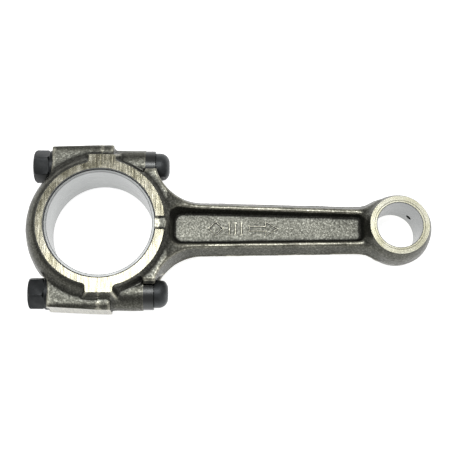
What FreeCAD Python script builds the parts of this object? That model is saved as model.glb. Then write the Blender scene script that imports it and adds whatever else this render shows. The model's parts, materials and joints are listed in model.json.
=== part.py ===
import FreeCAD
import Part
import math
import os

# Connecting rod of a small four-cylinder engine, with its cap, bolts, nuts and plain bearings.
# Millimetres. The origin is the centre of the big-end bore, at mid-width.
# +X runs along the beam to the small end, +Z along both bores, +Y to one bolt.

V = FreeCAD.Vector
X_AXIS = V(1, 0, 0)
Z_AXIS = V(0, 0, 1)

# ---- driving dimensions -------------------------------------------------------------------
CENTRES = 146.05            # distance between the two bore centres, 5.75 in

BIG_HALF_WIDTH = 14.6       # origin to a big-end thrust face
BIG_BORE_R = 25.45          # running surface for the crankpin
SHELL_WALL = 1.4            # bearing shell thickness
SHELL_INSET = 1.2           # shell end below the thrust face
HOUSING_CHAMFER = 0.4       # on the housing bore's mouth
OVERSHOOT = 1.0             # cutting tools pass this far beyond a face
SHELL_TANG_WIDTH = 4.0      # along Z
SHELL_TANG_LENGTH = 3.2     # along the joint side
SHELL_TANG_HEIGHT = 1.0     # out into the housing
SHELL_TANG_GAP = 0.15       # tang to its notch
SHELL_TANG_Z = 4.5          # tang centre from mid-width

THRUST_WALL_ROD = 4.65      # ground thrust ring's width outside the housing bore, on the rod
THRUST_WALL_CAP = 3.75      # and on the cap
THRUST_STEP = 1.3           # ring face above the forged face
THRUST_TAB_WALL = 7.3       # ground tab's reach outside the housing bore, beside the joint
THRUST_TAB_CAP = 5.8        # tab's reach along the cap
THRUST_TAB_ROD = 7.1        # tab's reach along the rod
OIL_NOTCH_HALF = 3.3        # half width of the oil gap in the ring, towards the beam

RING_WALL = 5.2             # forged wall outside the housing bore on the rod side
STRAP_WALL = 10.6           # cap strap's wall at mid-width
STRAP_EDGE_DROP = 4.3       # strap's edge below the forged face
STRAP_DRAFT = 1.0           # radius lost from mid-width to the strap's edge

BOLT_R = 4.7625             # 3/8 in bolt
BOLT_GAP = 0.05             # bolt to its hole, on the radius
BORE_TO_BOLT = 0.5375       # metal between the housing bore and a bolt hole
BOSS_WALL = 3.5             # wall round a bolt hole
HEAD_SEAT_X = 26.3          # bolt head's seat
HEAD_RIM = 2.2375           # head's edge beyond the shank
HEAD_LENGTH = 6.9           # bolt head, seat to crown
HEAD_DOME = 4.6             # height of the crown's rounding
HEAD_FLAT_RIM = 1.1375      # head's flat beyond the shank
DOME_STEPS = 8              # short faces that round the crown
SHANK_RELIEF_END = 1.0      # the shank fits its hole from here to the head
THREAD_LENGTH = 17.0        # threaded stretch
THREAD_RELIEF = 0.25        # shank below the thread's crest
TIP_CHAMFER = 1.0           # bolt tip
TIP_INSET = 0.6             # bolt tip inside the nut's face

NUT_SEAT_X = 23.9           # nut's seat, on the cap side
NUT_WALL = 2.3825           # thread to a flat, which makes 9/16 in across the flats
NUT_COLLAR_RIM = 3.2375     # round washer face beyond the thread
NUT_COLLAR_LENGTH = 2.5     # washer face
NUT_HEX_LENGTH = 7.7        # hexagon
NUT_CORNER_CUT = 0.75       # corner rounded off the hexagon's end
NUT_TURNS = {"nut_upper": 14.0, "nut_lower": -13.6}     # resting angle of each hexagon
SEAT_GAP = 0.7              # spot-face beyond the piece that sits in it
BOSS_TURNED = 5.0           # boss end that is turned down to its seat

PAD_WALL = 4.3875           # bolt hole to the machined side flat at the joint
PAD_TAPER = 1.2             # the flat comes in this much by the nut seat
PAD_RISE = 0.5875           # pad's top beyond the bolt boss, along Z
PAD_ROUND = 4.4             # rounding of the pad's outer edges
ROD_PAD_LENGTH = 5.6        # pad on the rod side of the joint

SMALL_HALF_WIDTH = 12.3     # origin plane to a small-end face
SMALL_BORE_R = 11.2         # running surface for the piston pin
BUSH_WALL = 1.1             # small-end bush
BUSH_INSET = 0.15           # bush end below the eye's face
EYE_FACE_WALL = 2.6         # eye's wall at its face
EYE_MID_WALL = 5.4          # eye's wall at mid-width
OIL_HOLE_R = 1.5            # splash hole into the bush
OIL_HOLE_ANGLE = 46.0       # from +X
OIL_HOLE_Z = -4.5

BEAM_HALF_START = 13.5      # half width at the big end's fillet, at mid-height
BEAM_HALF_END = 12.0        # half width at the small end's fillet
BEAM_START_GAP = 23.15      # housing bore to where the big end's fillet meets the beam
BEAM_END_GAP = 2.3          # eye to where the small end's fillet meets the beam
BIG_FILLET_R = 24.0         # in plan
BIG_FILLET_TURN = 74.0      # degrees of arc in that fillet
SMALL_FILLET_R = 20.0       # in plan
RAIL_DRAFT = 2.9            # half width lost between mid-height and the rail's top
RAIL_TOP_START = 8.0        # half height of the rails at the big end
RAIL_TOP_END = 6.4          # and at the small end
NECK_DROP = 1.0             # neck's top below the forged face, beside the thrust ring
NECK_CURVE = 1.5            # power of the curve that the neck's top follows
NECK_STEPS = 9              # sections along the neck
ROOT_STEPS = 3              # sections along the root of the eye
ROOT_DEPTH = 0.25           # share of the eye's radius that the beam runs into it
NECK_END_TOP = 8.4          # half height where the beam enters the eye
POCKET_GAP = 8.1            # big housing wall to the pocket
POCKET_END_WALL = 3.9       # pocket to the eye's bush
RAIL_WIDTH = 1.6            # flat on top of a rail
POCKET_WALL = 2.6           # width of the pocket's sloping side
WEB_HALF = 2.4              # half thickness of the web
POCKET_CORNER_R = 5.0       # in plan

# ---- worked-out dimensions ----------------------------------------------------------------
HOUSING_R = BIG_BORE_R + SHELL_WALL
THRUST_RING_ROD_R = HOUSING_R + THRUST_WALL_ROD
THRUST_RING_CAP_R = HOUSING_R + THRUST_WALL_CAP
THRUST_TAB_Y = HOUSING_R + THRUST_TAB_WALL
FORGED_HALF = BIG_HALF_WIDTH - THRUST_STEP
SHELL_HALF = BIG_HALF_WIDTH - SHELL_INSET
RING_R = HOUSING_R + RING_WALL
STRAP_R = HOUSING_R + STRAP_WALL
HOLE_R = BOLT_R + BOLT_GAP
BOLT_Y = HOUSING_R + HOLE_R + BORE_TO_BOLT
BOSS_R = HOLE_R + BOSS_WALL
HEAD_R = BOLT_R + HEAD_RIM
HEAD_FLAT = BOLT_R + HEAD_FLAT_RIM
NUT_FLATS = 2 * (BOLT_R + NUT_WALL)
NUT_COLLAR_R = BOLT_R + NUT_COLLAR_RIM
PAD_Y = BOLT_Y + HOLE_R + PAD_WALL
PAD_HALF_HEIGHT = BOSS_R + PAD_RISE
SPOT_R = max(BOSS_R, HEAD_R) + SEAT_GAP
EYE_BORE_R = SMALL_BORE_R + BUSH_WALL
EYE_FACE_R = EYE_BORE_R + EYE_FACE_WALL
EYE_MID_R = EYE_BORE_R + EYE_MID_WALL
BEAM_START_X = HOUSING_R + BEAM_START_GAP
BEAM_END_INSET = EYE_MID_R + BEAM_END_GAP
BEAM_END_X = CENTRES - BEAM_END_INSET
NECK_TOP = FORGED_HALF - NECK_DROP
NUT_LENGTH = NUT_COLLAR_LENGTH + NUT_HEX_LENGTH
NUT_END_X = -(NUT_SEAT_X + NUT_LENGTH)
SIDES = {"upper": 1, "lower": -1}
BEYOND = 2 * HOUSING_R + BOLT_Y     # farther than any piece of the big end reaches


def disc(radius, half, x=0.0):
    """Cylinder along Z, centred on mid-width."""
    return Part.makeCylinder(radius, 2 * half, V(x, 0, -half), Z_AXIS)


def bar_x(radius, x_from, x_to, side):
    """Cylinder along X on one bolt axis."""
    return Part.makeCylinder(radius, x_to - x_from, V(x_from, side * BOLT_Y, 0), X_AXIS)


def block(x_from, x_to, y_from, y_to, half):
    """Box centred on mid-width."""
    return Part.makeBox(x_to - x_from, y_to - y_from, 2 * half, V(x_from, y_from, -half))


def polygon(points):
    """Closed wire through the points."""
    return Part.makePolygon(list(points) + [points[0]])


def turned(profile, centre, axis, angle=360.0):
    """Solid turned from a closed outline."""
    return Part.Face(polygon(profile)).revolve(centre, axis, angle)


def half_space(sign):
    """Everything on one side of the joint face."""
    start = 0.0 if sign > 0 else -2 * BEYOND
    reach = CENTRES + BEYOND if sign > 0 else 2 * BEYOND
    return block(start, start + reach, -BEYOND, BEYOND, BEYOND)


def solid_of(shape):
    """The one solid of a finished shape, with its seams removed."""
    clean = shape.removeSplitter()
    if len(clean.Solids) != 1:
        raise ValueError("expected one solid, found %d" % len(clean.Solids))
    return clean.Solids[0]


# ---- rod ----------------------------------------------------------------------------------
def beam_half_width(x):
    """Half width at mid-height, with the fillets into both ends."""
    if x < BEAM_START_X:
        run = min(BEAM_START_X - x, BIG_FILLET_R * math.sin(math.radians(BIG_FILLET_TURN)))
        return BEAM_HALF_START + BIG_FILLET_R - math.sqrt(BIG_FILLET_R ** 2 - run ** 2)
    if x > BEAM_END_X:
        run = x - BEAM_END_X
        return BEAM_HALF_END + SMALL_FILLET_R - math.sqrt(SMALL_FILLET_R ** 2 - run ** 2)
    share = (x - BEAM_START_X) / (BEAM_END_X - BEAM_START_X)
    return BEAM_HALF_START + share * (BEAM_HALF_END - BEAM_HALF_START)


def beam_half_height(x):
    """Half height at the rails, rising into both ends."""
    if x < BEAM_START_X:
        share = (BEAM_START_X - x) / (BEAM_START_X - RING_R)
        return RAIL_TOP_START + (NECK_TOP - RAIL_TOP_START) * min(share, 1.0) ** NECK_CURVE
    if x > BEAM_END_X:
        share = (x - BEAM_END_X) / BEAM_END_INSET
        return RAIL_TOP_END + (NECK_END_TOP - RAIL_TOP_END) * share
    share = (x - BEAM_START_X) / (BEAM_END_X - BEAM_START_X)
    return RAIL_TOP_START + share * (RAIL_TOP_END - RAIL_TOP_START)


def beam_section(x):
    """Six-sided section, widest at mid-height as the forging dies leave it."""
    half = beam_half_width(x)
    top = beam_half_height(x)
    rail = half - RAIL_DRAFT
    return polygon([V(x, half, 0), V(x, rail, top), V(x, -rail, top),
                    V(x, -half, 0), V(x, -rail, -top), V(x, rail, -top)])


def beam():
    """Neck, beam and the root of the eye as one drafted body."""
    start = HEAD_SEAT_X - BOSS_TURNED
    neck = BEAM_START_X - start
    stations = [start + neck * i / NECK_STEPS for i in range(NECK_STEPS + 1)]
    root = BEAM_END_INSET - EYE_MID_R * (1 - ROOT_DEPTH)
    stations += [BEAM_END_X + root * i / ROOT_STEPS for i in range(ROOT_STEPS + 1)]
    return Part.makeLoft([beam_section(x) for x in stations], True, True)


def pocket(face):
    """Tapered hollow in one face of the beam; its floor is the web."""
    x_from = HOUSING_R + POCKET_GAP
    x_to = CENTRES - EYE_BORE_R - POCKET_END_WALL
    lip_from = beam_half_width(BEAM_START_X) - RAIL_DRAFT - RAIL_WIDTH
    lip_to = beam_half_width(BEAM_END_X) - RAIL_DRAFT - RAIL_WIDTH
    slope = POCKET_WALL / (RAIL_TOP_START - WEB_HALF)
    wires = []
    for level in (WEB_HALF, BIG_HALF_WIDTH):
        grow = slope * (level - RAIL_TOP_START)
        corners = [V(x_from - grow, -lip_from - grow, 0), V(x_to + grow, -lip_to - grow, 0),
                   V(x_to + grow, lip_to + grow, 0), V(x_from - grow, lip_from + grow, 0)]
        wire = polygon(corners)
        wire.translate(V(0, 0, face * level))
        wires.append(wire)
    body = Part.makeLoft(wires, True, True)
    corner_edges = [e for e in body.Edges if e.BoundBox.ZLength > WEB_HALF]
    return body.makeFillet(POCKET_CORNER_R, corner_edges)


def thrust_ring(radius):
    """Ground ring and its two tabs, over the full width."""
    ring = disc(radius, BIG_HALF_WIDTH)
    tabs = block(-THRUST_TAB_CAP, THRUST_TAB_ROD, -THRUST_TAB_Y, THRUST_TAB_Y, BIG_HALF_WIDTH)
    return ring.fuse(tabs)


def housing_bore():
    """Tool for the bore that holds both shells, with its chamfered mouths."""
    bore = disc(HOUSING_R, BIG_HALF_WIDTH + OVERSHOOT)
    for face in (1, -1):
        low = face * (BIG_HALF_WIDTH - HOUSING_CHAMFER)
        cone = Part.makeCone(HOUSING_R, HOUSING_R + 2 * HOUSING_CHAMFER, 2 * HOUSING_CHAMFER,
                             V(0, 0, low), V(0, 0, face))
        bore = bore.fuse(cone)
    return bore


def tang(sign, gap=0.0):
    """Locating tang of one shell, beside the joint on the lower bolt's side."""
    length = SHELL_TANG_LENGTH + gap
    half = SHELL_TANG_WIDTH / 2 + gap
    reach = HOUSING_R + SHELL_TANG_HEIGHT + gap
    base = Part.makeBox(length, reach - BIG_BORE_R, 2 * half,
                        V(0 if sign > 0 else -length, -reach, sign * SHELL_TANG_Z - half))
    return base.cut(disc(BIG_BORE_R + SHELL_WALL / 2, BIG_HALF_WIDTH))


def pad(x_from, x_to, side, taper):
    """Joint pad with a machined side flat and rounded edges."""
    sections = []
    for x, outer in ((x_from, PAD_Y - taper), (x_to, PAD_Y)):
        inner = BOLT_Y - BOSS_R
        inner_y = side * inner
        outer_y = side * outer
        sections.append(polygon([V(x, inner_y, -PAD_HALF_HEIGHT), V(x, outer_y, -PAD_HALF_HEIGHT),
                                 V(x, outer_y, PAD_HALF_HEIGHT), V(x, inner_y, PAD_HALF_HEIGHT)]))
    body = Part.makeLoft(sections, True, True)
    edges = [e for e in body.Edges
             if e.BoundBox.XLength > OVERSHOOT and abs(e.CenterOfMass.y) > BOLT_Y]
    return body.makeFillet(PAD_ROUND, edges)


def eye():
    """Small-end eye, barrelled outside."""
    profile = Part.Wire([
        Part.makeLine(V(CENTRES, 0, -SMALL_HALF_WIDTH), V(CENTRES + EYE_FACE_R, 0, -SMALL_HALF_WIDTH)),
        Part.Arc(V(CENTRES + EYE_FACE_R, 0, -SMALL_HALF_WIDTH), V(CENTRES + EYE_MID_R, 0, 0),
                 V(CENTRES + EYE_FACE_R, 0, SMALL_HALF_WIDTH)).toShape(),
        Part.makeLine(V(CENTRES + EYE_FACE_R, 0, SMALL_HALF_WIDTH), V(CENTRES, 0, SMALL_HALF_WIDTH)),
        Part.makeLine(V(CENTRES, 0, SMALL_HALF_WIDTH), V(CENTRES, 0, -SMALL_HALF_WIDTH))])
    return Part.Face(profile).revolve(V(CENTRES, 0, 0), Z_AXIS, 360)


def oil_hole():
    """Tool for the splash hole through the eye and its bush."""
    angle = math.radians(OIL_HOLE_ANGLE)
    way = V(math.cos(angle), math.sin(angle), 0)
    return Part.makeCylinder(OIL_HOLE_R, BEYOND, V(CENTRES, 0, OIL_HOLE_Z), way)


def connecting_rod():
    """The rod forging, machined."""
    body = disc(RING_R, FORGED_HALF).common(half_space(1))
    body = body.fuse(beam()).cut(pocket(1)).cut(pocket(-1))
    for side in SIDES.values():
        body = body.cut(bar_x(SPOT_R, HEAD_SEAT_X - BOSS_TURNED, HEAD_SEAT_X + BEYOND, side))
        boss = bar_x(BOSS_R, 0, HEAD_SEAT_X, side)
        body = body.fuse(boss).fuse(pad(0, ROD_PAD_LENGTH, side, 0.0))
    body = body.fuse(eye())
    notch = block(RING_R - 2 * RING_WALL, RING_R + OVERSHOOT, -OIL_NOTCH_HALF, OIL_NOTCH_HALF, BEYOND)
    body = body.fuse(thrust_ring(THRUST_RING_ROD_R).common(half_space(1)).cut(notch))
    body = body.cut(housing_bore()).cut(disc(EYE_BORE_R, BEYOND, CENTRES)).cut(oil_hole())
    for side in SIDES.values():
        body = body.cut(bar_x(HOLE_R, -OVERSHOOT, HEAD_SEAT_X + OVERSHOOT, side))
    return solid_of(body.cut(tang(1, SHELL_TANG_GAP)))


# ---- cap ----------------------------------------------------------------------------------
def bearing_cap():
    """The cap forging, machined."""
    edge = FORGED_HALF - STRAP_EDGE_DROP
    profile = [V(0, HOUSING_R / 2, -FORGED_HALF), V(0, RING_R, -FORGED_HALF),
               V(0, STRAP_R - STRAP_DRAFT, -edge), V(0, STRAP_R, 0), V(0, STRAP_R - STRAP_DRAFT, edge),
               V(0, RING_R, FORGED_HALF), V(0, HOUSING_R / 2, FORGED_HALF)]
    body = turned(profile, V(0, 0, 0), Z_AXIS, 180)
    for side in SIDES.values():
        body = body.fuse(pad(-NUT_SEAT_X, 0, side, PAD_TAPER))
    body = body.fuse(thrust_ring(THRUST_RING_CAP_R).common(half_space(-1)))
    body = body.cut(housing_bore())
    for side in SIDES.values():
        body = body.cut(bar_x(HOLE_R, -NUT_SEAT_X - OVERSHOOT, OVERSHOOT, side))
        body = body.cut(bar_x(NUT_COLLAR_R + SEAT_GAP, -2 * BEYOND, -NUT_SEAT_X, side))
    return solid_of(body.cut(tang(-1, SHELL_TANG_GAP)))


# ---- bearings -----------------------------------------------------------------------------
def shell(sign):
    """One half of the big-end bearing, with its tang."""
    sleeve = disc(HOUSING_R, SHELL_HALF).cut(disc(BIG_BORE_R, BIG_HALF_WIDTH))
    return solid_of(sleeve.common(half_space(sign)).fuse(tang(sign)))


def small_end_bush():
    """Bush for the piston pin."""
    half = SMALL_HALF_WIDTH - BUSH_INSET
    sleeve = disc(EYE_BORE_R, half, CENTRES).cut(disc(SMALL_BORE_R, SMALL_HALF_WIDTH, CENTRES))
    return solid_of(sleeve.cut(oil_hole()))


# ---- fasteners ----------------------------------------------------------------------------
def bolt(side):
    """Bolt with a domed head, a flat that stops it turning, and a threaded end."""
    tip = NUT_END_X + TIP_INSET
    thread_start = tip + THREAD_LENGTH
    shank_r = BOLT_R - THREAD_RELIEF
    outline = [V(tip, 0, 0), V(tip, BOLT_R - TIP_CHAMFER, 0), V(tip + TIP_CHAMFER, BOLT_R, 0),
               V(thread_start, BOLT_R, 0), V(thread_start + THREAD_RELIEF, shank_r, 0),
               V(-SHANK_RELIEF_END, shank_r, 0), V(THREAD_RELIEF - SHANK_RELIEF_END, BOLT_R, 0),
               V(HEAD_SEAT_X, BOLT_R, 0), V(HEAD_SEAT_X, HEAD_R, 0)]
    crown = HEAD_SEAT_X + HEAD_LENGTH
    for i in range(DOME_STEPS + 1):
        angle = math.radians(90) * i / DOME_STEPS
        outline.append(V(crown - HEAD_DOME * (1 - math.sin(angle)),
                         HEAD_R - HEAD_DOME * (1 - math.cos(angle)), 0))
    outline.append(V(crown, 0, 0))
    body = turned(outline, V(0, 0, 0), X_AXIS)
    body.translate(V(0, side * BOLT_Y, 0))
    flat = block(HEAD_SEAT_X, crown + OVERSHOOT, BOLT_Y - 2 * HEAD_R, BOLT_Y - HEAD_FLAT, 2 * HEAD_R)
    if side < 0:
        flat = flat.mirror(V(0, 0, 0), V(0, 1, 0))
    return solid_of(body.cut(flat))


def nut(side, turn):
    """Hexagon nut with a round washer face."""
    start = -NUT_SEAT_X
    washer_end = start - NUT_COLLAR_LENGTH
    corner = NUT_FLATS / math.sqrt(3)
    ring = [V(NUT_END_X, corner * math.cos(math.radians(60 * i + turn)),
              corner * math.sin(math.radians(60 * i + turn))) for i in range(6)]
    hexagon = Part.Face(polygon(ring)).extrude(V(washer_end - NUT_END_X, 0, 0))
    cut = NUT_CORNER_CUT
    envelope = [V(NUT_END_X, 0, 0), V(NUT_END_X, corner - 2 * cut, 0), V(NUT_END_X + cut, corner, 0),
                V(washer_end - cut, corner, 0), V(washer_end, corner - cut, 0), V(washer_end, 0, 0)]
    hexagon = hexagon.common(turned(envelope, V(0, 0, 0), X_AXIS))
    washer = Part.makeCylinder(NUT_COLLAR_R, NUT_COLLAR_LENGTH, V(washer_end, 0, 0), X_AXIS)
    body = hexagon.fuse(washer)
    body.translate(V(0, side * BOLT_Y, 0))
    return solid_of(body.cut(bar_x(HOLE_R, NUT_END_X - OVERSHOOT, start + OVERSHOOT, side)))


def main():
    """Build every piece and write it."""
    pieces = {"connecting_rod": connecting_rod(), "bearing_cap": bearing_cap(),
              "rod_shell": shell(1), "cap_shell": shell(-1), "small_end_bush": small_end_bush()}
    for name, side in SIDES.items():
        pieces["bolt_" + name] = bolt(side)
        pieces["nut_" + name] = nut(side, NUT_TURNS["nut_" + name])
    os.makedirs("parts", exist_ok=True)
    for name, shape in pieces.items():
        shape.exportStep("parts/" + name + ".step")
        print("%-16s valid %s  %8.1f mm3" % (name, shape.isValid(), shape.Volume))


main()
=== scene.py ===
import json
import math

import bmesh
import bpy
import numpy as np
import openvdb
from mathutils import Matrix, Vector, noise


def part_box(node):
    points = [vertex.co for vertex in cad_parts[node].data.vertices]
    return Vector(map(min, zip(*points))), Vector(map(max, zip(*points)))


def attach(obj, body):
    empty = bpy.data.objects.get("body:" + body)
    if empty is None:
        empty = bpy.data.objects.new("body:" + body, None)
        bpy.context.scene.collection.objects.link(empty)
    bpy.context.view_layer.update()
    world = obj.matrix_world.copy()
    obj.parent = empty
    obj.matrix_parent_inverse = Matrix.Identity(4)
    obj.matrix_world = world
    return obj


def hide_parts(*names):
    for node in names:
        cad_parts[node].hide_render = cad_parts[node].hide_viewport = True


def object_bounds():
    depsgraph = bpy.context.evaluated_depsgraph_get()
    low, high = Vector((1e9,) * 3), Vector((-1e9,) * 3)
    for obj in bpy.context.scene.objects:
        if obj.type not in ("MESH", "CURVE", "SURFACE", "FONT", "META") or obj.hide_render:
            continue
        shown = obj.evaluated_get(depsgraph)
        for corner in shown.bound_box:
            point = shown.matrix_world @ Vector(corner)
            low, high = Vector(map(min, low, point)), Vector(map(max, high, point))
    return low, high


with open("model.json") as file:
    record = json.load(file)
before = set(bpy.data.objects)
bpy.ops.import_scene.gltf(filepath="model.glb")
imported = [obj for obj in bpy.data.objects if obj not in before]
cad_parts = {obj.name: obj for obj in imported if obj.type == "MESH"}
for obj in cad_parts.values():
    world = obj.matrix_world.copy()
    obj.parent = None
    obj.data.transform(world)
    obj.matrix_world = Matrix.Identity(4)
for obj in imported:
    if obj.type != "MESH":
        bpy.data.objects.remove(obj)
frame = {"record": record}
CAD_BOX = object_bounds()

# A connecting rod as a forge and a machine shop leave it: two rough forgings whose faces, bores
# and seats are then ground or bored, with two bolts, two nuts, two shells and a bush.
# Lengths in this part of the script are millimetres; meshes are written in metres.
MM = 0.001


def node_mm(node):
    """Lowest and highest corner of a CAD node, in millimetres."""
    low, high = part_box(node)
    return np.array(low) / MM, np.array(high) / MM


def mount_mm(name):
    """A mount's place and radius, in millimetres."""
    mount = next(m for m in frame["record"]["mounts"] if m["name"] == name)
    return np.array(mount["pos_m"]) / MM, mount["dims"].get("r_mm")


# ---- sizes taken from the frame -----------------------------------------------------------
ROD_HIGH = node_mm("connecting_rod")[1]
CAP_LOW = node_mm("bearing_cap")[0]
SHELL_HIGH = node_mm("rod_shell")[1]
BUSH_HIGH = node_mm("small_end_bush")[1]
BOLT_LOW, BOLT_HIGH = node_mm("bolt_upper")
NUT_LOW, NUT_HIGH = node_mm("nut_upper")
SMALL_CENTRE, PIN_BORE_R = mount_mm("small_end_bore")
CRANK_BORE_R = mount_mm("big_end_bore")[1]
CENTRES = SMALL_CENTRE[0]
SMALL_FACE_Z = mount_mm("small_end_face_front")[0][2]
BIG_FACE_Z = ROD_HIGH[2]
HOUSING_R = SHELL_HIGH[0]
SHELL_END_Z = SHELL_HIGH[2]
EYE_BORE_R = BUSH_HIGH[1]
BUSH_END_Z = BUSH_HIGH[2]
EYE_MID_R = ROD_HIGH[0] - CENTRES
STRAP_R = -CAP_LOW[0]
PAD_FACE_Y = ROD_HIGH[1]
BOLT_Y = (NUT_LOW[1] + NUT_HIGH[1]) / 2
BOLT_TIP_X = BOLT_LOW[0]
CROWN_X = BOLT_HIGH[0]
HEAD_R = BOLT_HIGH[2]
NUT_SEAT_X = NUT_HIGH[0]
NUT_END_X = NUT_LOW[0]

# ---- sizes of the forgings ----------------------------------------------------------------
VOXEL = 0.5                 # spacing of the grid that the forgings are shaped on
GRID_MARGIN = (2.0, 4.0, 3.0)   # grid past the forging along X, Y and Z
JOINT_STOCK = 3.0           # forging left past the joint for milling
SKIN_HEIGHT = 0.07          # unevenness of the forged skin
SKIN_OCTAVES = ((1.6, 9.0), (0.7, 2.3), (0.7, 0.95))    # share and size of each roughness
SKIN_SHIFT = (7.3, 3.1, 1.7)    # moves the roughness from one forging to the next
SHARP = 0.1                 # rounding of edges that machining later takes off
FLASH_HEIGHT = 0.22         # what trimming leaves of the flash at mid-height
FLASH_HALF = 0.8            # half width of the flash line
SKIN_INSET = 0.38           # keeps the flash and the rough skin inside the nominal outline
STEP_Z = 1.3                # ground ring above the forged face
FORGED_Z = BIG_FACE_Z - STEP_Z
STOCK = 0.8                 # metal left on a forging for machining
RING_R = {"rod": 31.5, "cap": 30.6}     # ground ring's outer edge
RING_DRAFT = 0.35           # radius gained per millimetre below the ring's edge
HUB_R = 32.2                # forged body under the ring
TAB_Y = 34.15               # outer end of the tabs beside the joint
TAB_X = (-5.8, 7.1)
GAP_HALF_Y = 3.3            # gap in the ring, towards the beam
BOSS_R = 8.3                # forged boss around a bolt
PAD_HALF_Z = 8.9            # block beside the joint
PAD_ROUND = 4.4
PAD_END_X = 5.8             # rod-side pad ends here
PAD_TAPER = 1.2             # cap's side flat comes in by this much at the nut seat
HEAD_SEAT_X = 26.3          # seat of the bolt heads
TURNED_X = 21.3             # boss end is turned down from here to its seat
TURNED_R = 8.05
SPOT_R = 9.0                # clearance cut around a turned boss
NUT_SPOT_R = 8.7            # spot face under a nut
HOLE_R = 4.8125
STRAP_EDGE_Z = 9.0          # strap's shoulder
STRAP_SIDE = 0.11           # strap's radius lost per millimetre from mid-width
BEAM_X = (50.0, CENTRES - 20.0)     # straight part of the beam
BEAM_HALF_Y = (13.5, 12.0)  # its half width at mid-height, at each end
FILLET_R = (24.0, 20.0)     # curves into the big end and into the eye
RAIL_Z = (8.0, 6.4)         # half height of the rails at each end
NECK_Z = 12.2               # half height where the neck meets the big end
ROOT_Z = 8.6                # half height where the rails meet the eye
NECK_FILLET = 3.0
BOSS_FILLET = 1.6
PAD_FILLET = 1.4
EYE_FILLET = 3.4
RING_FILLET = 0.9
TAB_FILLET = 1.6
STRAP_PAD_FILLET = 2.0
RAIL_ROUND = 1.3
POCKET_LIP_ROUND = 1.1
POCKET_FLOOR_ROUND = 1.6
RAIL_DRAFT = 2.9            # half width lost from mid-height to the rail's top
RAIL_FLAT = 1.7             # width of the rail's top
POCKET_X = (34.6, 130.9)    # ends of the pocket at the rails' height
POCKET_ROUND = 4.6          # its corners in plan
POCKET_SLOPE = (0.24, 0.20)     # side and end walls, run per rise
WEB_Z = 2.4                 # half height of the web
EYE_FACE_R = 14.9           # outer edge of the eye's faced end
EYE_MILL_REACH = 24.0
MILL_PAST_PAD = 3.0
OVERRUN = 1.0               # how far a tool runs past what it cuts
CHAMFER = 0.45
SPLASH_ANGLE = 46.0
SPLASH_Z = -4.5
SPLASH_R = 1.5
JOINT_VEE = 0.09            # half width of the groove where rod and cap meet
THREAD_TURN = 25.4 / 24     # pitch of the thread
THREAD_LENGTH = 17.0
THREAD_FOOT = 0.98          # bolt thread's width at its root
NUT_THREAD_FOOT = 0.80
THREAD_TIP = 0.16           # either thread's width at its crest
THREAD_START = 0.4          # turns from the bolt's tip to its thread
NUT_THREAD_START = 0.9      # and to the nut's, which keeps the two in step
NUT_THREAD_SHORT = 2.2      # turns that the nut's thread is shorter than tip to seat
THREAD_R = (4.15, 4.71)     # bolt thread's root and crest
NUT_THREAD_R = (4.3, 4.84)  # nut thread's crest and root
HEAD_DOME = 4.6             # height of the bolt crown's rounding
HEAD_FLAT = 5.9             # bolt axis to the head's flat
DOME_STEPS = 12
HEAD_EDGE = 0.3             # broken edge at the head's seat
TIP_CHAMFER = 0.9
SHANK_RELIEF = 0.2          # radius taken off the shank between thread and joint
RELIEF_RUN = 0.4
RELIEF_END = -1.0
NUT_FLATS = 14.29
NUT_COLLAR_R = 8.0
NUT_CROWN = ((1.6, 0.0), (0.7, 0.4), (0.0, 1.3))    # radius lost at lengths from the nut's end
NUT_BEVEL = (0.9, 0.8)      # radius lost and length of the bevel behind the washer face
COLLAR_BACK_EDGE = 0.4
COLLAR_SEAT_EDGE = 0.2
OVERLAP = 0.1               # how far joined solids run into each other
TAP_ENGAGE = 0.04           # how far the thread's ridge sinks into the nut
TAP_END = (1.6, 0.6)        # countersink at the nut's end
TAP_SEAT = (1.5, 0.5)       # and at its seat
NUT_SEAT_GAP = 0.04         # oil film under the washer face
NUT_COLLAR = 2.5            # length of the round washer face
TANG_X = 3.2                # shell's locating tang, beside the joint on the lower bolt's side
TANG_Z = (2.5, 6.5)
TANG_OUT = 1.0
TANG_ROOT = 0.7             # how far the tang runs into its shell
TANG_GAP = 0.15             # play of the tang in its notch
SHELL_EDGE = 0.25
BUSH_EDGE = 0.3
MARK_R = 0.50               # half width of a raised forging mark's line
DIAMOND = ((53.0, 0.0), (56.4, 3.4), (59.8, 0.0), (56.4, -3.4))
BARS = tuple(((x, 2.8), (x, -2.8)) for x in (63.0, 66.0, 69.0))
ARROW = ((73.0, 1.2), (81.0, 1.2), (81.0, 3.4), (87.0, 0.0), (81.0, -3.4), (81.0, -1.2), (73.0, -1.2))
FACING_PITCH = 0.22         # spacing of the rings that a facing tool leaves
ALONG_X = Matrix(((0, 0, 1, 0), (1, 0, 0, 0), (0, 1, 0, 0), (0, 0, 0, 1)))   # stands Z tools along X
PAINTED_RELIEF_REACH = 14             # smoothing steps that edges and hollows are measured against
PAINTED_RELIEF_DEPTH = 0.95           # millimetres between the darkest hollow and the brightest edge
SLIVER = 0.004              # millimetres under which two points are one
SHARP_ANGLE = 32            # degrees between faces past which an edge is shaded sharp
FAR = 60.0                  # reach of tools that cut right through

FORGED, GROUND, BORED, TURNED, FACED = range(5)     # material slots of a forging


# ---- distance fields ----------------------------------------------------------------------
def blend_in(a, b, radius):
    """Union of two fields with a fillet between them."""
    share = np.clip(0.5 + 0.5 * (b - a) / radius, 0, 1)
    return b + (a - b) * share - radius * share * (1 - share)


def meet(a, b, radius):
    """Intersection of two fields with the edge rounded."""
    return -blend_in(-a, -b, radius)


def between(x, xs, values):
    """Straight line from one value to the other."""
    return values[0] + (values[1] - values[0]) * np.clip((x - xs[0]) / (xs[1] - xs[0]), 0, 1)


def tube_x(y, z, radius):
    """Round bar along a bolt's axis."""
    return np.hypot(y - BOLT_Y, z) - radius


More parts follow.
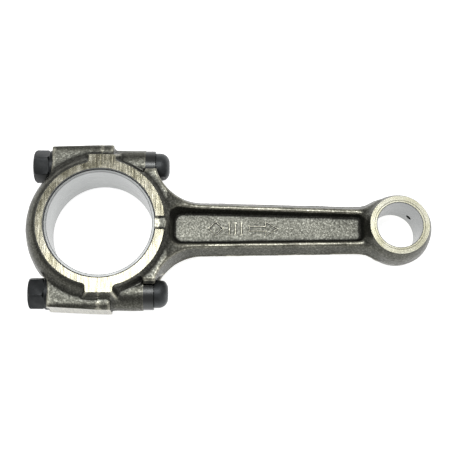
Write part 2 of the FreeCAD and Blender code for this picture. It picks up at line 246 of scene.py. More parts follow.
def thrust_ring_field(x, y, z, part):
    """Raised ring and tabs that the grinder later faces off."""
    radius = np.hypot(x, y)
    top = BIG_FACE_Z + STOCK
    ring = meet(radius - RING_R[part] - RING_DRAFT * (BIG_FACE_Z - z), z - top, SHARP)
    if part == "rod":
        gap = meet(y - GAP_HALF_Y - 0.5 * (z - BIG_FACE_Z), HOUSING_R - 8 - x + 0 * z, SHARP)
        ring = meet(ring, -meet(gap, FORGED_Z - 0.2 - z, 0.3), 1.4)
    draft = RING_DRAFT * (BIG_FACE_Z - z)
    tab = meet(meet(y - TAB_Y - draft, x - TAB_X[1] - draft, 1.0), TAB_X[0] - draft - x, 1.0)
    return blend_in(ring, meet(tab, z - top, SHARP), TAB_FILLET)


def beam_field(x, y, z):
    """Neck and I-beam, drafted from mid-height, with a pocket in each face."""
    run_big = np.clip(BEAM_X[0] - x, 0, FILLET_R[0] * 0.96)
    run_small = np.clip(x - BEAM_X[1], 0, FILLET_R[1] * 0.9)
    half = between(x, BEAM_X, BEAM_HALF_Y)
    half = half + FILLET_R[0] - np.sqrt(FILLET_R[0] ** 2 - run_big ** 2)
    half = half + FILLET_R[1] - np.sqrt(FILLET_R[1] ** 2 - run_small ** 2)
    rise = np.clip((BEAM_X[0] - x) / (BEAM_X[0] - HUB_R), 0, 1) ** 1.5
    rail = between(x, BEAM_X, RAIL_Z) + (NECK_Z - RAIL_Z[0]) * rise
    rail = rail + (ROOT_Z - RAIL_Z[1]) * np.clip(run_small / 12, 0, 1) ** 2
    side = (y - half + RAIL_DRAFT * z / rail) * 0.93
    body = meet(side, z - rail, RAIL_ROUND)
    body = meet(body, TURNED_X - x, 1.0)
    body = meet(body, x - CENTRES + EYE_MID_R * 0.6, 1.0)
    lip = between(x, BEAM_X, BEAM_HALF_Y) - RAIL_DRAFT - RAIL_FLAT
    level = z - RAIL_Z[0]
    across = np.abs(y) - lip - POCKET_SLOPE[0] * level + POCKET_ROUND
    centre = sum(POCKET_X) / 2
    along = np.abs(x - centre) - (POCKET_X[1] - POCKET_X[0]) / 2 - POCKET_SLOPE[1] * level + POCKET_ROUND
    corner = np.hypot(np.maximum(across, 0), np.maximum(along, 0))
    outline = corner + np.minimum(np.maximum(across, along), 0) - POCKET_ROUND
    pocket = meet(outline, WEB_Z - z, POCKET_FLOOR_ROUND)
    return meet(body, -pocket, POCKET_LIP_ROUND)


def eye_field(x, y, z):
    """Barrelled small-end eye."""
    drop = EYE_MID_R - EYE_FACE_R
    curve = (SMALL_FACE_Z ** 2 + drop ** 2) / (2 * drop)
    barrel = EYE_MID_R - SKIN_INSET - curve + np.sqrt(curve ** 2 - z ** 2)
    return meet(np.hypot(x - CENTRES, y) - barrel, z - SMALL_FACE_Z - STOCK, SHARP)


def pad_field(x, y, z, x_from, x_to):
    """Rounded block beside the joint."""
    across = y - PAD_FACE_Y - STOCK + PAD_ROUND
    upward = z - PAD_HALF_Z + PAD_ROUND
    corner = np.hypot(np.maximum(across, 0), np.maximum(upward, 0))
    section = corner + np.minimum(np.maximum(across, upward), 0) - PAD_ROUND
    section = np.maximum(section, HOUSING_R - 4 - y)
    return meet(meet(section, x - x_to, 0.9), x_from - x, 0.9)


def flash_line(z):
    """What the trimmed flash leaves standing along the dies' parting line."""
    return FLASH_HEIGHT * np.exp(-(z / FLASH_HALF) ** 2)


def rod_field(x, y, z):
    """The rod's forging before machining."""
    hub = meet(np.hypot(x, y) - HUB_R - 0.08 * (FORGED_Z - z), z - FORGED_Z, 1.0)
    neck = beam_field(x, y, z)
    spot = meet(tube_x(y, z, SPOT_R), TURNED_X - x, 0.4)
    body = blend_in(hub, meet(neck, -spot, 0.5), NECK_FILLET)
    boss = meet(tube_x(y, z, BOSS_R), x - HEAD_SEAT_X - STOCK, 0.3)
    body = blend_in(body, boss, BOSS_FILLET)
    body = blend_in(body, pad_field(x, y, z, -FAR, PAD_END_X), PAD_FILLET)
    body = blend_in(body, eye_field(x, y, z), EYE_FILLET) - flash_line(z)
    return blend_in(body, thrust_ring_field(x, y, z, "rod"), RING_FILLET)


def cap_field(x, y, z):
    """The cap's forging before machining."""
    radius = np.hypot(x, y)
    side = radius - STRAP_R + STRAP_SIDE * z + SKIN_INSET - flash_line(z)
    lost = STRAP_R - STRAP_SIDE * STRAP_EDGE_Z - HUB_R
    fall = FORGED_Z - STRAP_EDGE_Z
    slope_r = radius - STRAP_R + STRAP_SIDE * STRAP_EDGE_Z
    slope = (slope_r * fall + (z - STRAP_EDGE_Z) * lost) / math.hypot(fall, lost)
    strap = meet(meet(side, slope, 2.4), z - FORGED_Z, 0.8)
    body = blend_in(strap, pad_field(x, y, z, NUT_SEAT_X - STOCK, FAR), STRAP_PAD_FILLET)
    return blend_in(body, thrust_ring_field(x, y, z, "cap"), RING_FILLET)


# ---- mesh helpers -------------------------------------------------------------------------
def new_object(name, mesh):
    """Object at the origin, linked to the scene."""
    obj = bpy.data.objects.new(name, mesh)
    bpy.context.scene.collection.objects.link(obj)
    return obj


def mesh_from(name, points, faces, slot=0):
    """Mesh in metres from points in millimetres, with one material index."""
    mesh = bpy.data.meshes.new(name)
    mesh.from_pydata((np.asarray(points, float) * MM).tolist(), [], [list(map(int, f)) for f in faces])
    mesh.polygons.foreach_set("material_index", [slot] * len(mesh.polygons))
    mesh.update()
    return mesh


def outward(mesh):
    """Turn every face outwards."""
    work = bmesh.new()
    work.from_mesh(mesh)
    bmesh.ops.remove_doubles(work, verts=work.verts, dist=1e-7)
    bmesh.ops.recalc_face_normals(work, faces=work.faces)
    work.to_mesh(mesh)
    work.free()


def forge(name, field, x_from, x_to, seed):
    """Closed mesh of a field that is the same on both sides of Y = 0 and of Z = 0."""
    x = np.arange(x_from, x_to, VOXEL)[:, None, None]
    y = np.arange(0, PAD_FACE_Y + GRID_MARGIN[1], VOXEL)[None, :, None]
    z = np.arange(0, BIG_FACE_Z + GRID_MARGIN[2], VOXEL)[None, None, :]
    quarter = field(x, y, z).astype(np.float32)
    half = np.concatenate([quarter[:, :0:-1], quarter], axis=1)
    whole = np.concatenate([half[:, :, :0:-1], half], axis=2)
    grid = openvdb.FloatGrid(3 * VOXEL)
    grid.copyFromArray(np.clip(whole, -3 * VOXEL, 3 * VOXEL))
    points, quads = grid.convertToQuads(0.0)
    origin = np.array([x_from, -y.max(), -z.max()])
    mesh = mesh_from(name, points * VOXEL + origin, quads)
    outward(mesh)
    rough_cast(mesh, seed)
    return new_object(name, mesh)


def rough_cast(mesh, seed):
    """Move the skin in and out by what scale and worn dies leave."""
    count = len(mesh.vertices)
    places, normals = np.empty(count * 3), np.empty(count * 3, np.float32)
    mesh.vertices.foreach_get("co", places)
    mesh.vertex_normals.foreach_get("vector", normals)
    places, normals = places.reshape(-1, 3), normals.reshape(-1, 3)
    shift = np.array(SKIN_SHIFT) * seed
    shifted = places / MM + shift
    lift = np.empty(count)
    for i, place in enumerate(shifted):
        at = Vector(place)
        lift[i] = sum(share * noise.noise(at / size) for share, size in SKIN_OCTAVES)
    places += normals * (lift * SKIN_HEIGHT * MM)[:, None]
    mesh.vertices.foreach_set("co", places.ravel())
    mesh.update()


def lathe(name, profile, centre=(0, 0, 0), axis="Z", steps=192, slot=0, arc=None):
    """Solid turned from (radius, height) points; arc limits it to a range of degrees."""
    sweep = math.radians(arc[1] - arc[0]) if arc else 2 * math.pi
    first = math.radians(arc[0]) if arc else 0.0
    count = steps + 1 if arc else steps
    angles = first + np.arange(count) * sweep / steps
    profile = np.array(profile, float)
    points = [(r * math.cos(a), r * math.sin(a), h) for a in angles for r, h in profile]
    size = len(profile)
    faces = []
    for i in range(steps):
        j = (i + 1) % count
        for k in range(size):
            n = (k + 1) % size
            faces.append((i * size + k, j * size + k, j * size + n, i * size + n))
    if arc:
        faces.append(tuple(range(size)))
        faces.append(tuple(range((count - 1) * size, count * size)))
    mesh = mesh_from(name, points, faces, slot)
    if axis == "X":
        mesh.transform(ALONG_X)
    mesh.transform(Matrix.Translation(Vector(centre) * MM))
    work = bmesh.new()
    work.from_mesh(mesh)
    bmesh.ops.remove_doubles(work, verts=work.verts, dist=1e-7)
    bmesh.ops.dissolve_degenerate(work, dist=1e-8, edges=work.edges)
    bmesh.ops.recalc_face_normals(work, faces=work.faces)
    work.to_mesh(mesh)
    work.free()
    return new_object(name, mesh)


def box(name, low, high, slot=0, turn=0.0, pivot=(0, 0, 0)):
    """Block between two corners, turned about Z at a pivot."""
    work = bmesh.new()
    bmesh.ops.create_cube(work, size=1)
    mesh = bpy.data.meshes.new(name)
    work.to_mesh(mesh)
    work.free()
    low, high = np.array(low, float), np.array(high, float)
    mesh.transform(Matrix.Diagonal((*((high - low) * MM), 1)))
    mesh.transform(Matrix.Translation(Vector((high + low) / 2 * MM)))
    if turn:
        here = Matrix.Translation(Vector(pivot) * MM)
        mesh.transform(here @ Matrix.Rotation(math.radians(turn), 4, "Z") @ here.inverted())
    mesh.polygons.foreach_set("material_index", [slot] * len(mesh.polygons))
    return new_object(name, mesh)


def combine(obj, tools, operation="DIFFERENCE"):
    """Apply boolean tools to an object in turn, then delete them."""
    for tool in tools:
        step = obj.modifiers.new(tool.name, "BOOLEAN")
        step.operation = operation
        step.solver = "MANIFOLD"
        step.material_mode = "INDEX"
        step.object = tool
    for owner in (obj, *tools):
        while len(owner.data.materials) <= FACED:
            owner.data.materials.append(None)
    graph = bpy.context.evaluated_depsgraph_get()
    mesh = bpy.data.meshes.new_from_object(obj.evaluated_get(graph))
    obj.modifiers.clear()
    obj.data = mesh
    for tool in tools:
        bpy.data.objects.remove(tool)


def clean(mesh):
    """Close up the slivers that cutters leave where their edges all but meet."""
    work = bmesh.new()
    work.from_mesh(mesh)
    bmesh.ops.remove_doubles(work, verts=work.verts, dist=SLIVER * MM)
    bmesh.ops.dissolve_degenerate(work, dist=SLIVER * MM, edges=work.edges)
    seen, twins = {}, []
    for face in work.faces:
        corners = frozenset(face.verts)
        if corners in seen:
            twins += [face, seen[corners]]
        seen[corners] = face
    bmesh.ops.delete(work, geom=list(set(twins)), context="FACES")
    work.to_mesh(mesh)
    work.free()


def mark_painted_relief_light(mesh):
    """Store on each point how far it stands out, for the forging's painted light: highlights painted on edges
    and shade painted in hollows.
    """
    count = len(mesh.vertices)
    places, normals = np.empty(count * 3), np.empty(count * 3, np.float32)
    pairs = np.empty(len(mesh.edges) * 2, np.int32)
    mesh.vertices.foreach_get("co", places)
    mesh.vertex_normals.foreach_get("vector", normals)
    mesh.edges.foreach_get("vertices", pairs)
    places, normals, pairs = places.reshape(-1, 3) / MM, normals.reshape(-1, 3), pairs.reshape(-1, 2)
    ends = np.concatenate([pairs, pairs[:, ::-1]])
    share = np.bincount(ends[:, 0], minlength=count)[:, None].clip(1)

    def spread(values):
        """Mean of the neighbours' values."""
        total = [np.bincount(ends[:, 0], values[ends[:, 1], k], count) for k in range(values.shape[1])]
        return np.stack(total, axis=1) / share

    soft = places
    for _ in range(PAINTED_RELIEF_REACH):
        soft = soft * 0.4 + spread(soft) * 0.6
    stand = ((places - soft) * normals).sum(axis=1, keepdims=True)
    for _ in range(3):
        stand = stand * 0.5 + spread(stand) * 0.5
    painted_relief_light = mesh.attributes.new("painted_relief_light", "FLOAT", "POINT")
    painted_relief_light.data.foreach_set("value", np.clip(0.5 + stand[:, 0] / PAINTED_RELIEF_DEPTH, 0, 1).astype(np.float32))


def finish_piece(obj, body, replaced, materials):
    """Shade a finished piece, give it its materials and join it to its body."""
    clean(obj.data)
    mark_painted_relief_light(obj.data)
    obj.data.shade_smooth()
    obj.data.set_sharp_from_angle(angle=math.radians(SHARP_ANGLE))
    indices = np.empty(len(obj.data.polygons), np.int32)
    obj.data.polygons.foreach_get("material_index", indices)
    obj.data.materials.clear()
    for material in materials:
        obj.data.materials.append(material)
    obj.data.polygons.foreach_set("material_index", np.minimum(indices, len(materials) - 1))
    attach(obj, body)
    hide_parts(replaced)


# ---- materials ----------------------------------------------------------------------------
class Nodes:
    """Small helper that builds a material's nodes."""

    def __init__(self, name):
        self.material = bpy.data.materials.new(name)
        self.material.use_nodes = True
        self.tree = self.material.node_tree
        self.shader = self.tree.nodes["Principled BSDF"]
        self.coords = self.add("ShaderNodeTexCoord").outputs["Object"]

    def add(self, kind, **settings):
        node = self.tree.nodes.new(kind)
        for key, value in settings.items():
            setattr(node, key, value)
        return node

    def link(self, source, target):
        self.tree.links.new(source, target)

    def mapped(self, scale, turn=(0, 0, 0)):
        """Object coordinates scaled to features per metre."""
        node = self.add("ShaderNodeMapping")
        node.inputs["Scale"].default_value = scale
        node.inputs["Rotation"].default_value = [math.radians(t) for t in turn]
        self.link(self.coords, node.inputs["Vector"])
        return node.outputs["Vector"]

    def noise(self, size_mm, detail=3.0, rough=0.55, stretch=(1, 1, 1), turn=(0, 0, 0)):
        """Noise whose features are about size_mm across."""
        node = self.add("ShaderNodeTexNoise")
        node.inputs["Scale"].default_value = 1.0
        node.inputs["Detail"].default_value = detail
        node.inputs["Roughness"].default_value = rough
        scale = [1 / (size_mm * MM * s) for s in stretch]
        self.link(self.mapped(scale, turn), node.inputs["Vector"])
        return node.outputs["Fac"]

    def painted_flat_light(self):
        """1 where the surface lies flat across the bores' axis, 0 where it slopes away; used to paint light
        on flats that face the soft boxes.
        """
        normal = self.add("ShaderNodeSeparateXYZ")
        self.link(self.add("ShaderNodeNewGeometry").outputs["Normal"], normal.inputs["Vector"])
        steep = self.add("ShaderNodeMath", operation="ABSOLUTE")
        self.link(normal.outputs["Z"], steep.inputs[0])
        return self.span(steep.outputs["Value"], 0.0, 1.0, 0.93, 0.995)

    def painted_relief_light(self):
        """How far the surface stands out: 0 in hollows, 1 on edges; read to paint shade in hollows and
        highlights on edges.
        """
        return self.add("ShaderNodeAttribute", attribute_name="painted_relief_light").outputs["Fac"]

    def ramp(self, value, stops):
        """Colour ramp from (position, colour) stops."""
        node = self.add("ShaderNodeValToRGB")
        ramp = node.color_ramp
        while len(ramp.elements) < len(stops):
            ramp.elements.new(0.5)
        for element, (position, colour) in zip(ramp.elements, stops):
            element.position = position
            element.color = (*colour, 1)
        self.link(value, node.inputs["Fac"])
        return node.outputs["Color"]

    def span(self, value, low, high, start=0.3, end=0.7):
        """Map a value between start and end onto low to high."""
        node = self.add("ShaderNodeMapRange")
        node.inputs["From Min"].default_value = start
        node.inputs["From Max"].default_value = end
        node.inputs["To Min"].default_value = low
        node.inputs["To Max"].default_value = high
        self.link(value, node.inputs["Value"])
        return node.outputs["Result"]

    def tint(self, first, second, share):
        """Multiply one colour by another, as far as share says."""
        node = self.add("ShaderNodeMix", data_type="RGBA", blend_type="MULTIPLY")
        node.inputs["Factor"].default_value = share
        self.link(first, node.inputs["A"])
        self.link(second, node.inputs["B"])
        return node.outputs["Result"]

    def bump(self, heights):
        """Bump from (value, distance in mm) pairs, one on the other."""
        below = None
        for value, distance in heights:
            node = self.add("ShaderNodeBump")
            node.inputs["Distance"].default_value = distance * MM
            node.inputs["Strength"].default_value = 1.0
            self.link(value, node.inputs["Height"])
            if below is not None:
                self.link(below, node.inputs["Normal"])
            below = node.outputs["Normal"]
        self.link(below, self.shader.inputs["Normal"])

    def surface(self, colour, roughness, metallic):
        """Plug in the colour and the roughness, and set how metallic it is."""
        self.link(colour, self.shader.inputs["Base Color"])
        self.link(roughness, self.shader.inputs["Roughness"])
        self.shader.inputs["Metallic"].default_value = metallic
        return self.material


def forged_steel():
    """Shot-blasted and oiled forging skin with rubbed grains, and painted light: flats painted paler than
    slopes, highlights painted on edges and shade painted in hollows.
    """
    m = Nodes("forged_steel")
    grain = m.noise(0.85, 3, 0.62)
    fine = m.noise(0.36, 2, 0.6)
    patch = m.noise(12, 3, 0.5)
    skin = m.ramp(grain, [(0.34, (0.046, 0.046, 0.041)), (0.50, (0.070, 0.070, 0.063)),
                          (0.62, (0.105, 0.105, 0.096)), (0.74, (0.19, 0.19, 0.175))])
    # painted light: flats facing the soft boxes painted up to about twice as bright as slopes
    flat = m.ramp(m.painted_flat_light(), [(0.0, (0.98, 0.98, 0.95)), (1.0, (1.95, 1.97, 1.93))])
    # painted highlight on edges and painted shade in hollows, up to 3.8 times brighter and down to 0.42
    edge_highlight_hollow_shade = m.ramp(m.painted_relief_light(), [(0.15, (0.42, 0.42, 0.44)), (0.44, (0.92, 0.92, 0.92)),
                             (0.58, (1.25, 1.24, 1.20)), (0.72, (3.8, 3.7, 3.5))])
    tone = m.ramp(patch, [(0.3, (0.76, 0.76, 0.74)), (0.7, (1.14, 1.14, 1.12))])
    colour = m.tint(m.tint(m.tint(skin, tone, 1.0), flat, 1.0), edge_highlight_hollow_shade, 1.0)
    m.bump([(m.noise(2.4, 2), 0.13), (grain, 0.075), (fine, 0.03)])
    return m.surface(colour, m.span(grain, 0.44, 0.30, 0.35, 0.68), 0.92)


def ground_steel():
    """Surface-ground face: fine lines one way, coarser crossing scores, a straw tint."""
    m = Nodes("ground_steel")
    lines = m.noise(0.42, 3, 0.65, (1, 16, 16), (0, 0, 12))
    scores = m.noise(0.85, 2, 0.45, (1, 12, 12), (0, 0, -9))
    stain = m.noise(6, 3, 0.6)
    fleck = m.noise(0.7, 3, 0.6)
    base = m.ramp(lines, [(0.35, (0.235, 0.225, 0.175)), (0.65, (0.36, 0.35, 0.29))])
    scored = m.ramp(scores, [(0.36, (0.62, 0.61, 0.57)), (0.50, (1.0, 1.0, 1.0)), (0.66, (1.18, 1.18, 1.16))])
    stained = m.ramp(stain, [(0.34, (0.74, 0.73, 0.66)), (0.64, (1.0, 1.0, 1.0))])
    flecked = m.ramp(fleck, [(0.30, (0.80, 0.79, 0.75)), (0.45, (1.0, 1.0, 1.0))])
    colour = m.tint(m.tint(m.tint(base, stained, 1.0), scored, 0.75), flecked, 0.8)
    m.bump([(scores, 0.05), (lines, 0.03)])
    return m.surface(colour, m.span(stain, 0.15, 0.26), 1.0)


def faced_steel():
    """Eye face as a facing tool leaves it: fine rings about the pin's axis, with an olive stain."""
    m = Nodes("faced_steel")
    centred = m.add("ShaderNodeMapping")
    centred.inputs["Location"].default_value = (-CENTRES * MM, 0, 0)
    centred.inputs["Scale"].default_value = (1, 1, 0)
    m.link(m.coords, centred.inputs["Vector"])
    radius = m.add("ShaderNodeVectorMath", operation="LENGTH")
    m.link(centred.outputs["Vector"], radius.inputs[0])
    rings = m.add("ShaderNodeTexNoise", noise_dimensions="1D")
    rings.inputs["Scale"].default_value = 1 / (FACING_PITCH * MM)
    rings.inputs["Detail"].default_value = 2.0
    m.link(radius.outputs["Value"], rings.inputs["W"])
    stain = m.noise(9, 2, 0.5)
    base = m.ramp(rings.outputs["Fac"], [(0.34, (0.26, 0.255, 0.20)), (0.64, (0.37, 0.365, 0.31))])
    stained = m.ramp(stain, [(0.36, (0.72, 0.71, 0.62)), (0.62, (1.0, 1.0, 1.0))])
    m.bump([(rings.outputs["Fac"], 0.02)])
    return m.surface(m.tint(base, stained, 1.0), m.span(stain, 0.18, 0.28), 1.0)


def bored_steel(name, tone):
    """Bored or honed cylinder, cool grey, with fine rings."""
    m = Nodes(name)
    rings = m.noise(0.30, 2, 0.6, (40, 40, 1))
    cloud = m.noise(14, 3, 0.5)
    low = tuple(tone * c for c in (0.90, 0.93, 0.92))
    high = tuple(tone * c for c in (1.04, 1.07, 1.06))
    m.bump([(rings, 0.004)])
    return m.surface(m.ramp(cloud, [(0.3, low), (0.7, high)]), m.span(rings, 0.24, 0.34), 1.0)


def black_oxide(name, tone):
    """Chemically blackened steel, slightly blue, worn thin in places."""
    m = Nodes(name)
    cloud = m.noise(3.5, 4, 0.6)
    fine = m.noise(0.4, 3, 0.6)
    low = tuple(tone * c for c in (0.82, 0.88, 0.92))
    high = tuple(tone * c for c in (1.5, 1.6, 1.65))
    m.bump([(fine, 0.03)])
    return m.surface(m.ramp(cloud, [(0.3, low), (0.75, high)]), m.span(fine, 0.34, 0.5), 0.75)


STEEL_FORGED = forged_steel()
STEEL_GROUND = ground_steel()
STEEL_FACED = faced_steel()
STEEL_LINING = bored_steel("bearing_lining", 0.33)
STEEL_BACK = bored_steel("shell_back", 0.20)
STEEL_TURNED = bored_steel("turned_steel", 0.075)
STEEL_BUSH = bored_steel("bush_metal", 0.27)
OXIDE_NUT = black_oxide("nut_oxide", 0.027)
OXIDE_BOLT = black_oxide("bolt_oxide", 0.045)
FORGING_SKINS = (STEEL_FORGED, STEEL_GROUND, STEEL_BACK, STEEL_TURNED, STEEL_FACED)


# ---- threads ------------------------------------------------------------------------------
def thread_tree():
    """Geometry nodes that sweep a ridge along a helix on the Z axis."""
    tree = bpy.data.node_groups.new("thread_ridge", "GeometryNodeTree")
    face = tree.interface
    face.new_socket("Geometry", in_out="OUTPUT", socket_type="NodeSocketGeometry")
    for label, kind in (("Turns", "Float"), ("Pitch", "Float"), ("Radius", "Float"), ("Height", "Float"),
                        ("Foot", "Float"), ("Tip", "Float"), ("Material", "Material")):
        face.new_socket(label, in_out="INPUT", socket_type="NodeSocket" + kind)
    given = tree.nodes.new("NodeGroupInput").outputs
    helix = tree.nodes.new("GeometryNodeCurveSpiral")
    helix.inputs["Resolution"].default_value = 40
    rise = tree.nodes.new("ShaderNodeMath")
    rise.operation = "MULTIPLY"
    tree.links.new(given["Turns"], rise.inputs[0])
    tree.links.new(given["Pitch"], rise.inputs[1])
    tree.links.new(given["Turns"], helix.inputs["Rotations"])
    tree.links.new(given["Radius"], helix.inputs["Start Radius"])
    tree.links.new(given["Radius"], helix.inputs["End Radius"])
    tree.links.new(rise.outputs["Value"], helix.inputs["Height"])
    upright = tree.nodes.new("GeometryNodeSetCurveNormal")
    upright.mode = "Z_UP"
    tree.links.new(helix.outputs["Curve"], upright.inputs["Curve"])
    ridge = tree.nodes.new("GeometryNodeCurvePrimitiveQuadrilateral")
    ridge.mode = "TRAPEZOID"
    ridge.inputs["Offset"].default_value = 0
    tree.links.new(given["Foot"], ridge.inputs["Bottom Width"])
    tree.links.new(given["Tip"], ridge.inputs["Top Width"])
    tree.links.new(given["Height"], ridge.inputs["Height"])
    quarter = tree.nodes.new("GeometryNodeTransform")
    quarter.inputs["Rotation"].default_value = (0, 0, math.radians(90))
    tree.links.new(ridge.outputs["Curve"], quarter.inputs["Geometry"])
    sweep = tree.nodes.new("GeometryNodeCurveToMesh")
    sweep.inputs["Fill Caps"].default_value = True
    tree.links.new(upright.outputs["Curve"], sweep.inputs["Curve"])
    tree.links.new(quarter.outputs["Geometry"], sweep.inputs["Profile Curve"])
    whole = tree.nodes.new("GeometryNodeRealizeInstances")
    paint = tree.nodes.new("GeometryNodeSetMaterial")
    out = tree.nodes.new("NodeGroupOutput")
    tree.links.new(sweep.outputs["Mesh"], whole.inputs["Geometry"])
    tree.links.new(whole.outputs["Geometry"], paint.inputs["Geometry"])
    tree.links.new(given["Material"], paint.inputs["Material"])
    tree.links.new(paint.outputs["Geometry"], out.inputs["Geometry"])
    return tree


THREAD_TREE = thread_tree()


def thread(radii, length, foot, tip, inward, material):
    """Mesh of one thread's ridge, from its middle radius, starting at height 0."""
    obj = new_object("thread", bpy.data.meshes.new("thread"))
    step = obj.modifiers.new("thread", "NODES")
    step.node_group = THREAD_TREE
    widths = (tip, foot) if inward else (foot, tip)
    values = {"Turns": length / THREAD_TURN, "Pitch": THREAD_TURN * MM, "Radius": sum(radii) / 2 * MM,
              "Height": (radii[1] - radii[0]) * MM, "Foot": widths[0] * MM, "Tip": widths[1] * MM,
              "Material": material}
    for item in THREAD_TREE.interface.items_tree:
        if item.in_out == "INPUT":
            step[item.identifier] = values[item.name]
    graph = bpy.context.evaluated_depsgraph_get()
    mesh = bpy.data.meshes.new_from_object(obj.evaluated_get(graph))
    bpy.data.objects.remove(obj)
    return mesh


def add_mesh(obj, mesh):
    """Join another mesh into an object's mesh."""
    work = bmesh.new()
    work.from_mesh(obj.data)
    work.from_mesh(mesh)
    work.to_mesh(obj.data)
    work.free()


# ---- machining tools ----------------------------------------------------------------------
def face_mills():
    """Blocks that face off both sides of the big end."""
    return [box("face_mill", (-FAR, -FAR, BIG_FACE_Z), (FAR, FAR, FAR), GROUND),
            box("face_mill", (-FAR, -FAR, -FAR), (FAR, FAR, -BIG_FACE_Z), GROUND)]


def reamer(name, r, c, z, centre, steps, slot):
    """Bore of radius r between heights -z and z, with a chamfer of width c at each mouth."""
    wide, past = r + c + OVERRUN, z + OVERRUN
    profile = [(0, -past), (wide, -past), (r, -z + c), (r, z - c), (wide, past), (0, past)]
    return lathe(name, profile, centre, steps=steps, slot=slot)


def housing_reamer():
    """Bore for the shells."""
    return reamer("housing_reamer", HOUSING_R, CHAMFER, BIG_FACE_Z, (0, 0, 0), 256, BORED)


def bar(name, radius, x_from, x_to, side, slot):
    """Round tool along a bolt's axis."""
    profile = [(0, x_from), (radius, x_from), (radius, x_to), (0, x_to)]
    return lathe(name, profile, (0, side * BOLT_Y, 0), "X", 96, slot)


def boss_turner(side):
    """Hollow mill that turns a boss's end and faces its seat."""
    profile = [(TURNED_R, TURNED_X), (SPOT_R, TURNED_X), (SPOT_R, FAR), (0, FAR), (0, HEAD_SEAT_X),
               (TURNED_R, HEAD_SEAT_X)]
    return lathe("boss_turner", profile, (0, side * BOLT_Y, 0), "X", 96, TURNED)


def side_mill(side, x_from, x_to, taper):
    """Block that mills the flat on the outside of a pad."""
    low = (x_from, PAD_FACE_Y if side > 0 else -FAR, -FAR)
    high = (x_to, FAR if side > 0 else -PAD_FACE_Y, FAR)
    turn = side * math.degrees(math.atan2(taper, -NUT_SEAT_X))
    return box("side_mill", low, high, GROUND, turn, (0, side * PAD_FACE_Y, 0))


def splash_drill():
    """Drill for the splash hole through the eye and its bush."""
    profile = [(0, 0), (SPLASH_R, 0), (SPLASH_R, FAR), (0, FAR)]
    drill = lathe("splash_drill", profile, (0, 0, 0), "X", 32, BORED)
    drill.data.transform(Matrix.Rotation(math.radians(SPLASH_ANGLE), 4, "Z"))
    drill.data.transform(Matrix.Translation(Vector((CENTRES, 0, SPLASH_Z)) * MM))
    return drill


def tang_block(side, gap):
    """A shell's locating tang, or with a gap the notch that it sits in."""
    xs = sorted((0.0, side * (TANG_X + gap)))
    zs = sorted((side * (TANG_Z[0] - gap), side * (TANG_Z[1] + gap)))
    low = (xs[0], -(HOUSING_R + TANG_OUT + gap), zs[0])
    return box("tang", low, (xs[1], TANG_ROOT - HOUSING_R, zs[1]), BORED)


def joint_vees():
    """Small grooves that break the edges of the joint on the faces, pads and side flats."""
    tools = []
    for side in (1, -1):
        for z in (BIG_FACE_Z, -BIG_FACE_Z, PAD_HALF_Z, -PAD_HALF_Z):
            low = (-JOINT_VEE, HOUSING_R - 1 if side > 0 else -FAR, -JOINT_VEE)
            high = (JOINT_VEE, FAR if side > 0 else 1 - HOUSING_R, JOINT_VEE)
            vee = box("joint_vee", low, high, GROUND)
            vee.data.transform(Matrix.Rotation(math.radians(45), 4, "Y"))
            vee.data.transform(Matrix.Translation((0, 0, z * MM)))
            tools.append(vee)
        low = (-JOINT_VEE, side * PAD_FACE_Y - JOINT_VEE, -PAD_HALF_Z)
        high = (JOINT_VEE, side * PAD_FACE_Y + JOINT_VEE, PAD_HALF_Z)
        tools.append(box("joint_vee", low, high, GROUND, 45, (0, side * PAD_FACE_Y, 0)))
    return tools


def forging_marks():
    """Plain raised marks on the web: a diamond, three bars and an arrow, in outline."""
    curve = bpy.data.curves.new("forging_marks", "CURVE")
    curve.dimensions = "3D"
    curve.bevel_depth = MARK_R * MM
    curve.bevel_resolution = 3
    curve.use_fill_caps = True
    for outline in (DIAMOND, ARROW, *BARS):
        spline = curve.splines.new("POLY")
        spline.points.add(len(outline) - 1)
        for point, (x, y) in zip(spline.points, outline):
            point.co = (x * MM, y * MM, WEB_Z * MM, 1)
        spline.use_cyclic_u = len(outline) > 2
    shape = new_object("marks_curve", curve)
    graph = bpy.context.evaluated_depsgraph_get()
    mesh = bpy.data.meshes.new_from_object(shape.evaluated_get(graph))
    bpy.data.objects.remove(shape)
    outward(mesh)
    return new_object("forging_marks", mesh)


# ---- pieces -------------------------------------------------------------------------------
def make_rod():
    """Rod forging, then its machining."""
    rod = forge("rod_forging", rod_field, -JOINT_STOCK, CENTRES + EYE_MID_R + GRID_MARGIN[0], 1)
    tools = face_mills()
    for low, high in ((SMALL_FACE_Z, FAR), (-FAR, -SMALL_FACE_Z)):
        start, end = (CENTRES - EYE_MILL_REACH, -FAR, low), (CENTRES + FAR, FAR, high)
        tools.append(box("eye_mill", start, end, FACED))
    tools.append(box("joint_mill", (-FAR, -FAR, -FAR), (0, FAR, FAR), GROUND))
    tools.append(housing_reamer())
    tools.append(reamer("eye_reamer", EYE_BORE_R, CHAMFER / 2, SMALL_FACE_Z, (CENTRES, 0, 0), 192, FACED))
    for side in (1, -1):
        tools.append(boss_turner(side))
        tools.append(bar("bolt_drill", HOLE_R, -OVERRUN, HEAD_SEAT_X + OVERRUN, side, BORED))
        tools.append(side_mill(side, -OVERRUN, PAD_END_X + MILL_PAST_PAD, 0.0))
    tools += [splash_drill(), tang_block(1, TANG_GAP), *joint_vees()]
    combine(rod, tools)
    combine(rod, [forging_marks()], "UNION")
    finish_piece(rod, "rod", "connecting_rod", FORGING_SKINS)


